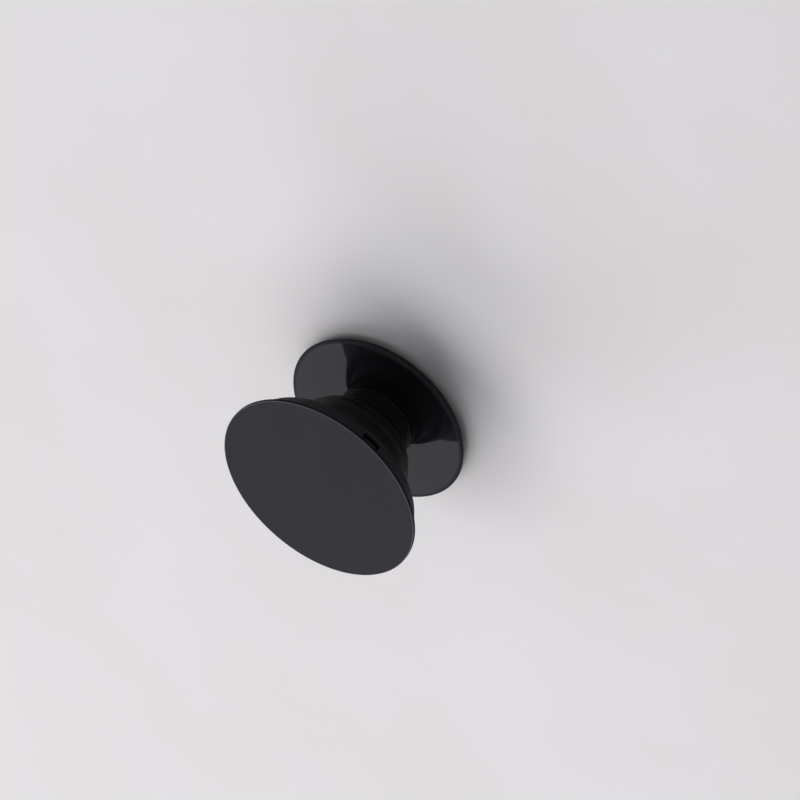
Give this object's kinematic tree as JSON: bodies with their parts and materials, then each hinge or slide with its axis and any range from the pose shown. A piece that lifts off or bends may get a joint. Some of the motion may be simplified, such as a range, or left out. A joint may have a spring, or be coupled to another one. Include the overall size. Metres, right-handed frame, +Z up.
{
  "type": "collapsible phone grip",
  "caption": "Stick-on round grip for the back of a phone: a flat cap on a soft accordion neck that folds down to a thin disc, turning on a glossy round base.",
  "frame": {"origin": "centre of the adhesive face under the base", "axes": "+Z up the grip's axis, from the adhesive face to the cap; a snap window faces -Y"},
  "size_m": [0.04, 0.04, 0.0227],
  "materials": {
    "adhesive": "matte foam",
    "gloss_black": "glossy",
    "soft_black": "satin",
    "rim_black": "satin",
    "charcoal": "matte"
  },
  "bodies": {
    "base": {"adhesive_pad": "adhesive", "base_platform": "gloss_black"},
    "neck": {"accordion": "soft_black"},
    "cap": {"cap_shell": "rim_black", "cap_plate": "charcoal"}
  },
  "joints": [
    {"name": "swivel", "type": "hinge", "parent": "base", "child": "neck", "pos_m": [0, 0, 0.0023], "axis": [0, 0, 1], "continuous": true},
    {"name": "collapse", "type": "slide", "parent": "neck", "child": "cap", "axis": [0, 0, 1], "range_m": [-0.0155, 0], "deforming": ["accordion"]}
  ]
}
